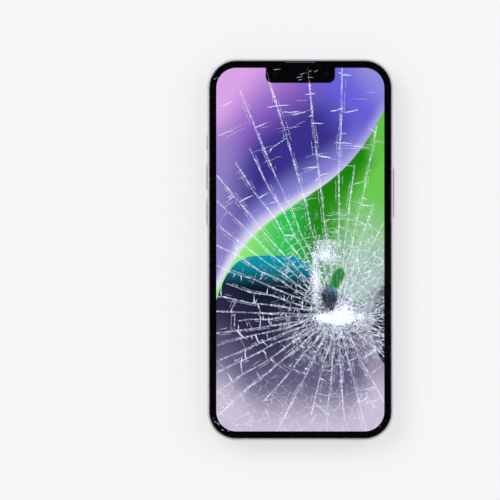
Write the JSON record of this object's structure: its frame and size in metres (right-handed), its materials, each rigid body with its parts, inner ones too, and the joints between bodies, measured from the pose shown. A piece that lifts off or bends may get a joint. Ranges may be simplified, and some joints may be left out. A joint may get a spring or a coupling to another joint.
{
  "type": "mobile phone with a shattered screen",
  "caption": "Flat-sided mobile phone lying on its back: its front glass is shattered by a knock low on the right, with long cracks from a crushed spot, over a lit display.",
  "frame": {"origin": "under the middle of the phone's outline, at the height of the camera rings' outer faces", "axes": "+Z out of the screen, +Y to the earpiece end, +X to the side with the single long button"},
  "size_m": [0.0724, 0.1466, 0.0105],
  "materials": {
    "band_metal": "fine matte anodised",
    "ring_metal": "polished",
    "strip_plastic": "fine matte",
    "front_glass": "polished, shattered",
    "border_ink": "gloss",
    "screen": "lit picture",
    "sheet_steel": "satin",
    "screw_steel": "satin",
    "port_steel": "dull",
    "black_plastic": "matte",
    "dark_mesh": "woven",
    "copper": "satin",
    "gold_plate": "bright",
    "board_resin": "satin",
    "connector_plastic": "matte",
    "battery_skin": "matte",
    "adhesive": "matte",
    "orange_plastic": "matte",
    "tray_rubber": "matte",
    "dense_metal": "dull",
    "lens_glass": "coated",
    "lens_cover_glass": "polished",
    "flash_plastic": "ribbed diffuser",
    "flash_phosphor": "matte",
    "back_glass": "gloss, opaque tint behind",
    "seal_plastic": "matte",
    "ferrite": "matte",
    "magnet_plate": "plated"
  },
  "bodies": {
    "phone_body": {"mid_frame": "band_metal", "antenna_strips": "strip_plastic", "display_carrier": "black_plastic", "cover_glass": "front_glass", "border_print": "border_ink", "display_panel": "screen", "display_backplate": "sheet_steel", "display_flex": "copper", "earpiece_mesh": "dark_mesh", "earpiece_speaker": "black_plastic", "sensor_bracket": "sheet_steel", "front_camera": "black_plastic", "infrared_camera": "black_plastic", "dot_projector": "black_plastic", "light_sensor": "black_plastic", "side_button_switch": "sheet_steel", "volume_switches": "sheet_steel", "ring_switch_base": "orange_plastic", "sim_reader": "sheet_steel", "logic_board": "board_resin", "board_shields": "sheet_steel", "board_connectors": "connector_plastic", "battery": "battery_skin", "battery_adhesive": "adhesive", "battery_cable": "copper", "haptic_case": "sheet_steel", "bottom_speaker": "black_plastic", "sound_meshes": "dark_mesh", "bottom_microphone": "gold_plate", "charge_port": "port_steel", "port_contacts": "gold_plate", "end_screws": "band_metal", "inner_screws": "screw_steel", "camera_bracket": "sheet_steel", "wide_camera_housing": "black_plastic", "wide_lens_ring": "ring_metal", "wide_lens_cover": "lens_cover_glass", "main_camera_housing": "black_plastic", "main_lens_ring": "ring_metal", "main_lens_cover": "lens_cover_glass", "flash_window": "flash_plastic", "flash_board": "flash_phosphor", "rear_microphone": "sheet_steel", "rear_glass": "back_glass", "rear_seal": "seal_plastic", "charging_coil": "copper", "coil_shield": "ferrite", "magnet_ring": "magnet_plate"},
    "side_button_body": {"side_button": "band_metal"},
    "volume_up_body": {"volume_up_button": "band_metal"},
    "volume_down_body": {"volume_down_button": "band_metal"},
    "ring_switch_body": {"ring_switch": "band_metal"},
    "sim_tray_body": {"sim_tray": "band_metal", "sim_tray_seal": "tray_rubber"},
    "haptic_mass_body": {"haptic_mass": "dense_metal"},
    "wide_lens_body": {"wide_lens_barrel": "black_plastic", "wide_lens_glass": "lens_glass"},
    "main_lens_body": {"main_lens_barrel": "black_plastic", "main_lens_glass": "lens_glass"}
  },
  "joints": [
    {"name": "side_button_press", "type": "slide", "parent": "phone_body", "child": "side_button_body", "axis": [-1, 0, 0], "range_m": [0, 0.00025], "stiffness_N_per_m": 1000, "springref_m": -0.001},
    {"name": "volume_up_press", "type": "slide", "parent": "phone_body", "child": "volume_up_body", "axis": [1, 0, 0], "range_m": [0, 0.00025], "stiffness_N_per_m": 1000, "springref_m": -0.001},
    {"name": "volume_down_press", "type": "slide", "parent": "phone_body", "child": "volume_down_body", "axis": [1, 0, 0], "range_m": [0, 0.00025], "stiffness_N_per_m": 1000, "springref_m": -0.001},
    {"name": "ring_switch_slide", "type": "slide", "parent": "phone_body", "child": "ring_switch_body", "axis": [0, 0, -1], "range_m": [0, 0.0011]},
    {"name": "sim_tray_slide", "type": "slide", "parent": "phone_body", "child": "sim_tray_body", "axis": [-1, 0, 0], "range_m": [0, 0.016]},
    {"name": "haptic_mass_slide", "type": "slide", "parent": "phone_body", "child": "haptic_mass_body", "axis": [1, 0, 0], "range_m": [-0.0008, 0.0008], "stiffness_N_per_m": 500},
    {"name": "wide_lens_focus", "type": "slide", "parent": "phone_body", "child": "wide_lens_body", "axis": [0, 0, -1], "range_m": [0, 0.0003], "stiffness_N_per_m": 300, "springref_m": -0.0002},
    {"name": "main_lens_focus", "type": "slide", "parent": "phone_body", "child": "main_lens_body", "axis": [0, 0, -1], "range_m": [0, 0.0003], "stiffness_N_per_m": 300, "springref_m": -0.0002}
  ]
}
